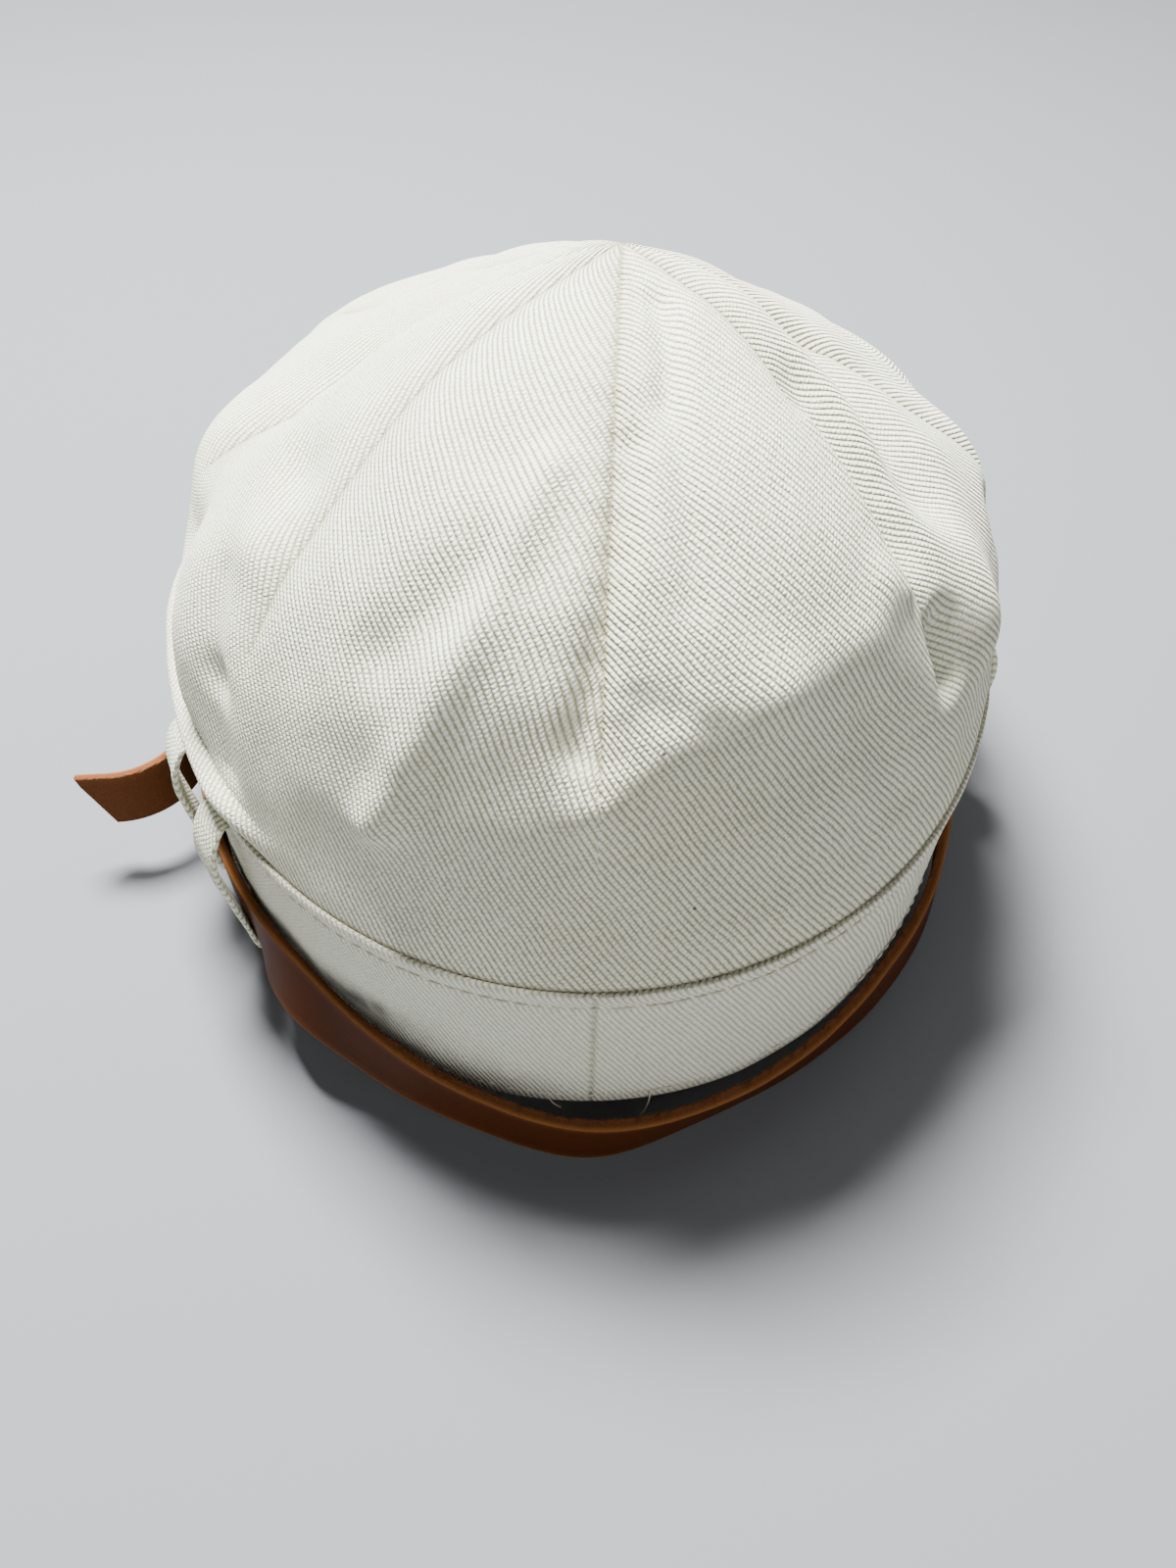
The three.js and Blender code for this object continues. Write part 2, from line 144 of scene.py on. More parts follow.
# Ridges and creases: turn and down of each end, share of the fold width, share of the fold depth
creases = [
    (-12, 0.27, -26, 0.66, 0.36, 0.6),
    (-24, 0.56, -27, 0.68, 0.4, 0.2),
    (-29, 0.46, -18, 0.37, 0.5, -0.65),
    (3.5, 0.24, -3, 0.51, 0.28, -0.55),
    (22, 0.1, 13.5, 0.2, 0.28, -0.6),
    (14, 0.24, 12, 0.38, 0.3, -0.25),
    (-2, 0.58, 12, 0.49, 0.4, 0.35),
    (5, 0.47, 13, 0.5, 0.25, -0.2),
    (9, 0.6, 30, 0.56, 0.7, -0.3),
    (81, 0.27, 65, 0.41, 0.8, -1.5),
    (54, 0.26, 50.5, 0.41, 0.55, -1.1),
    (47.5, 0.28, 46.5, 0.46, 0.22, 0.45),
    (-94, 0.3, -80, 0.64, 0.9, -0.55),
    (52, 0.54, 52, 0.6, 0.38, -1.3),
    (36, 0.56, 40, 0.76, 0.4, -0.35),
    (-60, 0.52, -55, 0.64, 0.45, -0.5),
    (-55, 0.64, -52, 0.84, 0.45, -0.4),
    (-68, 0.56, -63, 0.86, 0.8, 0.5),
    (100, 0.7, 128, 0.84, 0.8, 0.5),
    (-105, 0.72, -132, 0.82, 0.8, 0.5),
    (172, 0.62, -170, 0.86, 0.8, -0.5),
]


def smooth(low, high, value):
    """0 below low, 1 above high, and 3s^2 - 2s^3 between them, s being the share of the way."""
    share = np.clip((value - low) / (high - low), 0, 1)
    return share * share * (3 - 2 * share)


def bell(value):
    """exp(-x^2): 1 in the middle, and almost nothing past 2."""
    return np.exp(-value * value)


def turn_between(a, b):
    """The shorter way round from b to a, in degrees."""
    return (a - b + 540) % 360 - 180


def by_band(turn, height, off):
    """A point off the band's outer face: an ellipse, slightly egg-shaped, that leans out with height."""
    t = np.radians(turn)
    grown = band_egg * np.cos(3 * t) + band_flare * height / band_height + off
    x = (band_half_width + grown) * np.sin(t)
    y = -(band_half_length + grown) * np.cos(t)
    return np.stack([x, y, height + 0 * x], -1)


def crown_pattern(turn, down):
    """A rounded tent from the peak to the shoulder, each line down it a superellipse whose roundness
    changes with the turn; below it a wall that bends in to the band by the square of the way down."""
    turn, down = np.broadcast_arrays(turn, down)
    t = np.radians(turn)
    back = np.maximum(np.cos(t), 0)
    front = np.maximum(-np.cos(t), 0)
    reach = np.where(np.cos(t) > 0, crown_back_reach, crown_front_reach)
    rise = front_shoulder_rise * front**2 - back_shoulder_drop * back**2
    shoulder = np.stack([crown_half_width * np.sin(t), -reach * np.cos(t), shoulder_height + rise], -1)
    roundness = round_side + (round_back - round_side) * back + (round_front - round_side) * front
    a = np.clip(down / shoulder_down, 0, 1) * np.pi / 2
    out = np.sin(a) ** (2 / roundness)
    up = np.maximum(np.cos(a), 0) ** (2 / roundness)
    share = np.stack([out, out, 1 - up], -1)
    peak = np.array([peak_right, -peak_back, crown_height])
    tent = peak + (shoulder - peak) * share
    v = np.clip((down - shoulder_down) / (1 - shoulder_down), 0, 1)
    belly = bag_depth * np.sin(np.pi * v) * v
    foot = by_band(turn, band_height, -seam_inset) + np.array([0, 0, seam_gap])
    share = np.stack([v * v, v * v, v], -1)
    swell = np.stack([belly * np.sin(t), -belly * np.cos(t), 0 * belly], -1)
    wall = shoulder + (foot - shoulder) * share + swell
    return np.where((down <= shoulder_down)[..., None], tent, wall)


# Each point of the easing: its place along the reach, and its share of the mean
ease_steps = [(-1, 0.15), (-0.5, 0.22), (0, 0.26), (0.5, 0.22), (1, 0.15)]
level_from = 0.9
slope_step = 0.01


def plain_crown(turn, down):
    """The pattern eased along each line down it: a weighted mean of five points near by."""
    near_ends = np.minimum(np.minimum(down / ease_from_peak, 1), (1 - down) / ease_from_rim)
    reach = ease_reach * np.maximum(near_ends, 0)
    eased = 0
    for step, share in ease_steps:
        eased = eased + share * crown_pattern(turn, down + step * reach)
    return eased


def crown_out(turn, down):
    """The way out of the plain crown: the cross product of its two slopes, made level at the rim."""
    across = plain_crown(turn + 1, down) - plain_crown(turn - 1, down)
    below = plain_crown(turn, np.minimum(down + slope_step, 1))
    above = plain_crown(turn, np.maximum(down - slope_step, slope_step / 2))
    out = np.cross(below - above, across)
    out /= np.linalg.norm(out, axis=-1, keepdims=True)
    out[..., 2] *= 1 - smooth(level_from, 1, down)
    return out / np.linalg.norm(out, axis=-1, keepdims=True)


def girth(down):
    """The length of one degree round the crown, as the sine of the way down to the shoulder."""
    return np.radians(1) * middle_reach * np.sin(np.minimum(down / shoulder_down, 1) * np.pi / 2)


def even_turn(turn):
    """The turn counted in even gores: the turn less a sine of twice itself, because the darts beside
    the middle of the back and of the front stand a little away from it."""
    return turn - dart_drift * np.sin(2 * np.radians(turn))


def real_turn(even):
    """The turn at which even_turn gives this value, found by putting the answer back in, over and over."""
    turn = even
    for _ in range(turn_rounds):
        turn = even + dart_drift * np.sin(2 * np.radians(turn))
    return turn


def relief(turn, down):
    """How far the cloth stands proud: dart hollows and full gores as cosines and bells of the turn,
    puffs as bells of the distance to their middles, creases as bells of the distance to their lines,
    and above the left loops a half sine by which the slack cloth hangs over the band."""
    around = girth(down)
    even = even_turn(turn)
    off_dart = np.abs(turn_between(even, np.round(even / gore) * gore))
    fade = smooth(-hollow_past, hollow_full, dart_end - down) * np.minimum(down / peak_reach, 1)
    full = np.sin(off_dart / gore * np.pi)
    lift = fade * (gore_depth * (full - 0.5) - dart_depth * bell(off_dart * around / dart_width))
    for at, low, wide, long, height in puffs:
        x = turn_between(turn, at) * around / (wide * fold_width)
        y = (down - low) * crown_run / (long * fold_width)
        lift = lift + height * fold_depth * bell(np.hypot(x, y))
    for at, low, to_turn, to_down, wide, height in creases:
        run_x = turn_between(to_turn, at) * around
        run_y = (to_down - low) * crown_run
        x = turn_between(turn, at) * around
        y = (down - low) * crown_run
        share = np.clip((x * run_x + y * run_y) / (run_x**2 + run_y**2), 0, 1)
        away = np.hypot(x - share * run_x, y - share * run_y)
        lift = lift + height * fold_depth * bell(away / (wide * fold_width))
    left = -turn_between(turn, 0)
    hang = hang_depth * smooth(hang_start, hang_full, left) * (1 - smooth(hang_fall, hang_end, left))
    hang = hang * np.sin(np.pi * np.clip((1 - down) / hang_rise, 0, 1))
    return lift * np.minimum((1 - down) / rim_reach, 1) + hang


lattice_side = 16
lattice_shift = 100


def uneven(points, size, seed):
    """Smooth random height from -1 to 1: random numbers on a cubic lattice of the size given,
    blended between the eight corners of each cell by 3s^2 - 2s^3."""
    lattice = np.random.default_rng(seed).uniform(-1, 1, (lattice_side, lattice_side, lattice_side))
    at = points / size + lattice_shift
    cell = np.floor(at).astype(int)
    part = at - cell
    part = part * part * (3 - 2 * part)
    total = 0
    for corner in np.ndindex(2, 2, 2):
        index = (cell + corner) % lattice_side
        weight = np.prod(np.where(corner, part, 1 - part), axis=-1)
        total = total + weight * lattice[index[..., 0], index[..., 1], index[..., 2]]
    return total


seam_past = 0.02
seam_full = 0.03
peak_bare = 0.01
peak_full = 0.05
seam_groove = 0.55 * mm
seam_width = 0.8 * mm
allowance_lift = 0.25 * mm
allowance_offset = 3.2 * mm
allowance_width = 2.2 * mm
pucker_lift = 0.12 * mm
pucker_length = 4.5 * mm
pucker_reach = 4.5 * mm
flat_share = 0.35
flat_turn = 20
pucker_wander = 25 * mm
pucker_phase = 4
small_ripple = 0.4 * mm
small_ripple_size = 9 * mm
wide_ripple = 0.8 * mm
wide_ripple_size = 24 * mm


def dart_seams(turn, down, points):
    """The stitched dart line: a narrow bell-shaped groove, a raised seam allowance on one side of it,
    and small puckers across it that are sines of the way down, all over a random ripple."""
    around = girth(down)
    even = even_turn(turn)
    side = turn_between(even, np.round(even / gore) * gore) * around
    fade = smooth(-seam_past, seam_full, dart_end - down) * smooth(peak_bare, peak_full, down)
    groove = -seam_groove * bell(side / seam_width)
    allowance = allowance_lift * bell((side - allowance_offset) / allowance_width)
    phase = pucker_phase * uneven(points, pucker_wander, 5)
    wave = np.sin(2 * np.pi * down * crown_run / pucker_length + phase)
    pucker = pucker_lift * wave * bell(side / pucker_reach)
    rim_fade = np.minimum((1 - down) / rim_reach, 1)
    ripples = small_ripple * uneven(points, small_ripple_size, 6)
    ripples = ripples + wide_ripple * uneven(points, wide_ripple_size, 7)
    strength = flat_share + (1 - flat_share) * bell(turn_between(turn, 0) / flat_turn)
    return fade * strength * (groove + allowance + pucker) + rim_fade * ripples


def grid_faces(rows, columns, first=0):
    """The quads of a grid of points that closes on itself across its columns."""
    row = np.arange(rows - 1)[:, None] * columns + first
    here = np.arange(columns)[None, :]
    ahead = (here + 1) % columns
    quads = [row + here, row + columns + here, row + columns + ahead, row + ahead]
    return np.stack(quads, -1).reshape(-1, 4)


def make_mesh(name, points, faces):
    """A smooth mesh object at the origin. Its faces are turned over, so that they point outwards, if
    the sum of a . (b x c) over the first two triangles of each face is negative."""
    a = points[[face[0] for face in faces]]
    volume = 0
    for k in (1, 2):
        b = points[[face[k] for face in faces]]
        c = points[[face[k + 1] if k + 1 < len(face) else face[k] for face in faces]]
        volume += np.sum(a * np.cross(b, c))
    if volume < 0:
        faces = [face[::-1] for face in faces]
    mesh = bpy.data.meshes.new(name)
    mesh.from_pydata(points, [], faces)
    mesh.shade_smooth()
    piece = bpy.data.objects.new(name, mesh)
    bpy.context.scene.collection.objects.link(piece)
    return piece


def spread(mesh, name, values):
    """Puts one number for each vertex into the mesh, for its material to read."""
    mesh.attributes.new(name, "FLOAT", "POINT").data.foreach_set("value", values.ravel())


half_columns = 30
outer_rows = 140
inner_rows = 40
even_part = 0.25

# Columns stand close together beside each dart line, and wider apart in the middle of each gore
share = np.arange(half_columns) / half_columns
near_dart = gore / 2 * (even_part * share + (1 - even_part) * share**2)
one_gore = np.concatenate([near_dart, [gore / 2], gore - near_dart[:0:-1]])
crown_turns = real_turn((np.arange(dart_count)[:, None] * gore + one_gore).ravel())
crown_columns = len(crown_turns)


def crown_skin(rows, off):
    """One skin of the crown from the peak's first ring down to the rim, off the outer face."""
    down = np.linspace(1 / rows, 1, rows)[:, None]
    turn = crown_turns[None, :]
    base = plain_crown(turn, down)
    lift = relief(turn, down) + dart_seams(turn, down, base) + off
    return base + crown_out(turn, down) * lift[..., None]


outer = crown_skin(outer_rows, 0)
inner = crown_skin(inner_rows, -cloth_wall)
peak = outer[0].mean(axis=0)
inner_peak = peak - [0, 0, cloth_wall]
crown_points = np.concatenate([outer.reshape(-1, 3), inner.reshape(-1, 3), [peak], [inner_peak]])
inner_first = outer_rows * crown_columns
peak_index = inner_first + inner_rows * crown_columns
here = np.arange(crown_columns)
ahead = (here + 1) % crown_columns
rim = inner_first - crown_columns
inner_rim = peak_index - crown_columns
crown_faces = grid_faces(outer_rows, crown_columns).tolist()
crown_faces += grid_faces(inner_rows, crown_columns, inner_first)[:, ::-1].tolist()
crown_faces += np.stack([rim + here, inner_rim + here, inner_rim + ahead, rim + ahead], -1).tolist()
crown_faces += [(peak_index, int(a), int(b)) for a, b in zip(here, ahead)]
crown_faces += [(peak_index + 1, int(inner_first + b), int(inner_first + a)) for a, b in zip(here, ahead)]
crown = make_mesh("crown_cloth", crown_points, crown_faces)

strip_start = 0.44
strip_full = 0.58
wale_pitch = 1.18
crown_lean = math.radians(36)
wales_round = 393
left_gore = 7
left_twist = math.radians(13)
twist_start = 0.2
twist_end = 0.7
strip_girth = wales_round * wale_pitch / math.cos(crown_lean) / 360


def weave_place(turn, down, gore_index):
    """Where the cloth lay in its flat gore, in millimetres: the distance round from the gore's middle
    line and the distance down from the peak. Below the darts the girth stays the same, so that the
    gores run on as one plain strip, which closes on a whole number of wales. The gore left of the
    back seam lies twisted in the cloth, about the height at which the strip starts."""
    middle = real_turn((gore_index + 0.5) * gore)
    line = np.linspace(0, 1, 200)
    steps = np.linalg.norm(np.diff(plain_crown(gore / 2 + 0 * line, line), axis=0), axis=-1)
    far = np.interp(down, line, np.concatenate([[0], np.cumsum(steps)])) / mm
    aside = turn_between(turn, middle)
    share = smooth(strip_start, strip_full, down)
    across = aside * ((1 - share) * girth(down) / mm + share * strip_girth)
    twist = np.where(gore_index == left_gore, left_twist, 0) * (1 - smooth(twist_start, twist_end, down))
    pivot = np.interp(strip_start, line, np.concatenate([[0], np.cumsum(steps)])) / mm
    above = far - pivot
    turned = across * np.cos(twist) - above * np.sin(twist)
    far = pivot + across * np.sin(twist) + above * np.cos(twist)
    return np.stack([turned + turn_between(middle, 0) * strip_girth, far], -1)


def corner_points(mesh):
    """The index of the point on which each face corner stands."""
    points = np.empty(len(mesh.loops), dtype=int)
    mesh.loops.foreach_get("vertex_index", points)
    return points


def put_weave(mesh, turns, downs):
    """Gives each face corner its place in the cloth, by the gore that the face is in."""
    loops = corner_points(mesh)
    totals = np.empty(len(mesh.polygons), dtype=int)
    mesh.polygons.foreach_get("loop_total", totals)
    owner = np.repeat(np.arange(len(totals)), totals)
    turn = turns[loops]
    down = downs[loops]
    known = ~np.isnan(turn)
    bearing = np.radians(np.where(known, turn, 0))
    mid_x = np.bincount(owner, np.cos(bearing) * known)
    mid_y = np.bincount(owner, np.sin(bearing) * known)
    middle = np.degrees(np.arctan2(mid_y, mid_x)) % 360
    turn = np.where(known, turn, middle[owner])
    place = weave_place(turn, down, np.floor(even_turn(middle) / gore)[owner])
    mesh.uv_layers.new(name="weave").data.foreach_set("uv", place.ravel())


outer_down = np.repeat(np.linspace(1 / outer_rows, 1, outer_rows), crown_columns)
inner_down = np.repeat(np.linspace(1 / inner_rows, 1, inner_rows), crown_columns)
crown_down = np.concatenate([outer_down, inner_down, [0, 0]])
crown_turn = np.concatenate([np.tile(crown_turns, outer_rows + inner_rows), [np.nan, np.nan]])
put_weave(crown.data, crown_turn, crown_down)

# Each seam shows as a thin dark line of painted shade in its groove, in a wider, fainter straw stain.
# The crown's lowest rows take the same dark tint, as painted shade under the cloth that hangs over the band.
seam_shade_line = 0.6 * mm
stain_reach = 3.5 * mm
stain_share = 0.32
rim_shade_from = 0.985
stain_full = 0.04
plain_turn = np.nan_to_num(crown_turn)
even = even_turn(plain_turn)
off_seam = np.abs(turn_between(even, np.round(even / gore) * gore)) * girth(crown_down)
seam_stain_and_shade = np.maximum(bell(off_seam / seam_shade_line), stain_share * bell(off_seam / stain_reach))
seam_stain_and_shade = seam_stain_and_shade * smooth(-seam_past, stain_full, dart_end - crown_down)
spread(crown.data, "seam", np.maximum(seam_stain_and_shade, smooth(rim_shade_from, 1, crown_down)))


class Value:
    """A shader socket that can be used in sums: each operator adds the Math node of its name."""

    def __init__(self, socket):
        self.socket = socket

    def node(self, kind, settings, inputs, output=0):
        """Adds a node to the same material: its settings first, then the values or links of its sockets."""
        made = self.socket.id_data.nodes.new("ShaderNode" + kind)
        for name, value in settings.items():
            setattr(made, name, value)
        for name, value in inputs.items():
            if isinstance(value, Value):
                self.socket.id_data.links.new(value.socket, made.inputs[name])
            else:
                made.inputs[name].default_value = value
        return Value(made.outputs[output])

    def math(self, operation, *terms):
        return self.node("Math", {"operation": operation}, dict(enumerate(terms)))

    def mix(self, low, high):
        """A colour between two colours, by this value."""
        low = low if isinstance(low, Value) else (*low, 1)
        high = high if isinstance(high, Value) else (*high, 1)
        return self.node("Mix", {"data_type": "RGBA"}, {0: self, 6: low, 7: high}, 2)

    def clamp(self):
        return self.node("Clamp", {}, {0: self})

    def __add__(self, other):
        return self.math("ADD", self, other)

    def __sub__(self, other):
        return self.math("SUBTRACT", self, other)

    def __rsub__(self, other):
        return self.math("SUBTRACT", other, self)

    def __mul__(self, other):
        return self.math("MULTIPLY", self, other)

    def __truediv__(self, other):
        return self.math("DIVIDE", self, other)

    def __pow__(self, other):
        return self.math("POWER", self, other)

    __radd__ = __add__
    __rmul__ = __mul__


pick_pitch = 0.8
ridge_white = (0.91, 0.925, 0.77)
# The valley colours are the cloth darkened as painted shade between the wales
valley_shade_grey = (0.42, 0.415, 0.26)
pressed_valley_shade = (0.64, 0.62, 0.48)
# A straw stain darkened as painted shade, for the seams' grooves and the other seam marks
seam_straw_and_shade = (0.27, 0.245, 0.13)
lint_dark = (0.10, 0.085, 0.07)
# Rub soot together with painted shadow of the strap on the band
soot_and_shadow = (0.08, 0.068, 0.06)
stained_valley_shade = (0.42, 0.39, 0.20)
stained_ridge = (0.89, 0.87, 0.63)
stain_strength = 0.5
seam_strength = 0.75
lint_radius = 0.35 * mm
wander_grain = 70
fuzz_grain = 1900
blotch_grain = 22
ridge_share = 0.64
ridge_power = 0.8
pick_power = 0.7
wander_wales = 1.2
float_step = 0.37
float_fuzz = 0.25
surface_fuzz = 0.75
contrast = 1.5
contrast_fuzz = 0.8
dark_level = 0.34
stain_from = 0.44
stain_gain = 2.2
lint_strength = 0.8
weave_depth = 0.4 * mm


def new_material(name):
    """A material with nodes, and its surface shader."""
    material = bpy.data.materials.new(name)
    material.use_nodes = True
    return material, material.node_tree.nodes["Principled BSDF"]


def twill(name, lean, pitch, valley=valley_shade_grey, soil_and_shade=0.0, lint=()):
    """Twill cloth: slanted wales with a rounded ridge and a valley darkened as painted shade, crossed by
    short floats.
    The ridge is a power of |sin| of the phase across the wales, and the floats one of |sin| of the
    phase along them. Noise fuzzes both, and a wider noise stains the cloth a little yellow. The mesh's
    seam mark mixes in straw stain with painted shade, soil darkens it by the mesh's mark of soot where
    the strap rubs together with painted strap shadow beside it, and each lint point is a dark speck."""
    material, shader = new_material(name)
    start = Value(shader.outputs[0])
    place = start.node("TexCoord", {}, {}, "Object")
    weave = start.node("UVMap", {"uv_map": "weave"}, {})
    across = weave.node("SeparateXYZ", {}, {0: weave}, 0)
    along = weave.node("SeparateXYZ", {}, {0: weave}, 1)
    seam = start.node("Attribute", {"attribute_name": "seam"}, {}, "Fac")
    wander = start.node("TexNoise", {}, {"Vector": place, "Scale": wander_grain, "Detail": 2})
    fuzz = start.node("TexNoise", {}, {"Vector": place, "Scale": fuzz_grain, "Detail": 2})
    blotch = start.node("TexNoise", {}, {"Vector": place, "Scale": blotch_grain, "Detail": 3})
    phase = (across * math.cos(lean) - along * math.sin(lean)) / pitch + wander * wander_wales
    float_phase = (across * math.sin(lean) + along * math.cos(lean)) / pick_pitch
    float_phase = float_phase + phase.math("FLOOR", phase) * float_step + fuzz * float_fuzz
    ridge = phase.math("ABSOLUTE", phase.math("SINE", phase * math.pi)) ** ridge_power
    pick = phase.math("ABSOLUTE", phase.math("SINE", float_phase * math.pi)) ** pick_power
    height = ridge * (ridge_share + pick * (1 - ridge_share)) + (fuzz - 0.5) * surface_fuzz
    # Painted shade between the wales: the lower the weave's height, the darker and greyer the colour
    bright = (height * contrast + (fuzz - 0.5) * contrast_fuzz - dark_level).clamp()
    colour = bright.mix(valley, ridge_white)
    stain = ((blotch - stain_from) * stain_gain).clamp() * stain_strength
    colour = stain.mix(colour, bright.mix(stained_valley_shade, stained_ridge))
    # The seam mark mixes in straw stain together with painted shade in grooves, under overhangs and along
    # folded edges
    colour = (seam * seam_strength).clamp().mix(colour, seam_straw_and_shade)
    # Rub soot together with painted strap shadow, by the mesh's own mark
    if soil_and_shade:
        rub_and_shadow = start.node("Attribute", {"attribute_name": "rub_and_shadow"}, {}, "Fac")
        colour = (rub_and_shadow * soil_and_shade).clamp().mix(colour, soot_and_shadow)
    for spot in lint:
        gap = place.node("VectorMath", {"operation": "DISTANCE"}, {0: place, 1: tuple(spot)}, "Value")
        speck = gap.math("LESS_THAN", gap, lint_radius)
        colour = (speck * lint_strength).mix(colour, lint_dark)
    links = material.node_tree.links
    links.new(colour.socket, shader.inputs["Base Color"])
    bump = start.node("Bump", {}, {"Strength": 0.9, "Distance": weave_depth, "Height": height}, "Normal")
    links.new(bump.socket, shader.inputs["Normal"])
    shader.inputs["Roughness"].default_value = 0.93
    shader.inputs["Specular IOR Level"].default_value = 0.12
    shader.inputs["Sheen Weight"].default_value = 0.12
    shader.inputs["Sheen Roughness"].default_value = 0.6
    return material


def on_crown(turn, down):
    """A point on the crown's outer face."""
    turn = np.array([[float(turn)]])
    down = np.array([[float(down)]])
    base = plain_crown(turn, down)
    lift = relief(turn, down) + dart_seams(turn, down, base)
    return (base + crown_out(turn, down) * lift[..., None])[0, 0]


# The turn and the way down of each speck of lint that shows
lint_places = [(92, 0.189), (7, 0.517), (11, 0.756)]
crown_lint = [on_crown(turn, down) for turn, down in lint_places]
crown_twill = twill("crown_twill", crown_lean, wale_pitch, lint=crown_lint)
crown.data.materials.append(crown_twill)
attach(crown, "root")
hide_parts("crown")


# The band is a doubled strip of the same twill, closed by one seam at the centre back.
# Its upper edge is a narrow standing welt that hides the crown seam; both edges are topstitched.
band_wall = 2.4 * mm
ridge_height = 2.8 * mm
ridge_proud = 0.8 * mm
stitch_drop = 1.2 * mm
hem_stitch_height = 3.2 * mm
back_seam_groove = 0.45 * mm
back_seam_width = 0.5 * mm
welt_turn = 0.86
welt_power = 0.6
seam_line_reach = 0.7 * mm
back_line_over = 4 * mm
hem_fade = 2 * mm
back_seam_shade = 0.5
welt_shade = 0.6
stitch_shade = 0.15
stitch_dip = 0.28 * mm
hem_dip = 0.25 * mm
dip_width = 0.8 * mm
band_ripple = 0.35 * mm
band_ripple_size = 14 * mm
band_fuzz = 0.14 * mm
band_fuzz_size = 4 * mm
hem_wave = 0.35 * mm
hem_wave_size = 20 * mm

# Columns stand close together at the back seam, in degrees
seam_reach = 4
seam_core = 1
before = np.arange(-seam_reach, -seam_core, 0.5)
after = np.arange(seam_core, seam_reach, 0.5)
plain = np.arange(seam_reach, 360 - seam_reach, 0.9)
band_turns = np.concatenate([before, np.arange(-seam_core, seam_core, 0.1), after, plain])
stitch_line = band_height - ridge_height - ridge_proud - stitch_drop


def band_profile():
    """The band's section as heights and offsets from its outer face, from the lower edge up the outer
    face, over the welt, and down the inner face: half circles at the ends and straight runs between."""
    hem = np.linspace(-math.pi / 2, 0, 6)
    rounding = band_wall / 2
    lower = [(rounding + rounding * np.sin(a), -rounding + rounding * np.cos(a)) for a in hem]
    foot = band_height - ridge_height
    face = [(h, 0) for h in np.linspace(rounding, foot - ridge_proud, 26)[1:]]
    start = foot - ridge_proud / 2
    rise = ridge_height + ridge_proud / 2
    swell = np.linspace(0, math.pi, 10)[1:]
    welt = [(start + rise * s / math.pi, ridge_proud * np.sin(s * welt_turn) ** welt_power) for s in swell]
    top = [(band_height, ridge_proud * 0.1), (band_height, -band_wall)]
    inside = [(h, -band_wall) for h in np.linspace(band_height, rounding, 8)[1:]]
    quarter = np.linspace(0, math.pi / 2, 5)[1:-1]
    under = [(rounding - rounding * np.sin(a), -rounding - rounding * np.cos(a)) for a in quarter]
    return np.array(lower + face + welt + top + inside + under)


profile = band_profile()
heights = profile[:, 0][:, None] + 0 * band_turns[None, :]
offs = profile[:, 1][:, None] + 0 * band_turns[None, :]
turn_grid = band_turns[None, :] + 0 * heights
base = by_band(turn_grid, heights, offs)
outside = (offs > -band_wall * 0.6) * np.minimum(heights / hem_fade, 1)
dimple = -stitch_dip * bell((heights - stitch_line) / dip_width)
dimple = dimple - hem_dip * bell((heights - hem_stitch_height) / dip_width)
groove = -back_seam_groove * bell(np.radians(turn_between(turn_grid, 0)) * band_half_length / back_seam_width)
ripple = band_ripple * uneven(base, band_ripple_size, 11) + band_fuzz * uneven(base, band_fuzz_size, 12)
band_shape = by_band(turn_grid, heights, offs + outside * (dimple + groove + ripple))
band_shape[..., 2] += hem_wave * uneven(base, hem_wave_size, 13) * (1 - heights / band_height)
rows = len(profile)
band_faces = grid_faces(rows + 1, len(band_turns)) % (rows * len(band_turns))
band = make_mesh("band_cloth", band_shape.reshape(-1, 3), band_faces.tolist())

loops = corner_points(band.data)
column = loops % len(band_turns)
place_turn = band_turns[column]
first_corner = np.repeat(place_turn.reshape(-1, 4).max(axis=1), 4)
place_turn = np.where((first_corner > 180) & (place_turn < 90), place_turn + 360, place_turn)
strip_down = -heights.ravel()[loops] / mm + np.maximum(-offs.ravel()[loops], 0) / mm
strip = np.stack([np.radians(place_turn) * middle_reach / mm, strip_down], -1)
band.data.uv_layers.new(name="weave").data.foreach_set("uv", strip.ravel())
from_back = np.radians(turn_between(turn_grid, 0)) * band_half_length
back_line = bell(from_back / seam_line_reach) * (heights < stitch_line + back_line_over)
welt_edge = smooth(band_height - 0.5 * mm, band_height, heights) * welt_shade
seam_shade = np.maximum(back_seam_shade * back_line, welt_edge)
stitch_line_shade = stitch_shade * bell((heights - stitch_line) / seam_line_reach)
spread(band.data, "seam", np.maximum(seam_shade, stitch_line_shade))

# Soot where the strap rubs, together with painted shadow of the strap beside its upper edge, as two patches:
# strength, turn, reach in degrees, height and reach in height
rub_and_shadow_patches = [(1, -30, 10, 13 * mm, 4.5 * mm), (0.5, -14, 10, 7 * mm, 4 * mm)]
signed_turn = turn_grid - 360 * (turn_grid > 180)
rub_and_shadow = 0
for strength, at, reach, level, rise in rub_and_shadow_patches:
    rub_and_shadow = rub_and_shadow + strength * bell((signed_turn - at) / reach) * bell((heights - level) / rise)
spread(band.data, "rub_and_shadow", np.clip(rub_and_shadow * (0.8 + 0.5 * uneven(base, 3 * mm, 14)), 0, 1))
band_pitch = 1.1
band_lean = math.radians(31)
band_soil_and_shade = 0.85
band_twill = twill("band_twill", band_lean, band_pitch, pressed_valley_shade, soil_and_shade=band_soil_and_shade)
band.data.materials.append(band_twill)
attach(band, "root")
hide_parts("band")


# Two rows of lockstitch in cotton thread hold the band's welt and its lower edge.
# Each stitch is a short rounded bar that dips into the cloth at both ends.
stitch_length = 2.6 * mm
stitch_space = 3.3 * mm
thread_radius = 0.22 * mm
thread_rise = 0.2 * mm
thread_end = 0.08
thread_cream = (0.62, 0.57, 0.47)
stitch_off = -0.22 * mm
stitch_drift = 0.12
stitch_wander = 0.12 * mm
stitch_tilt = 0.06


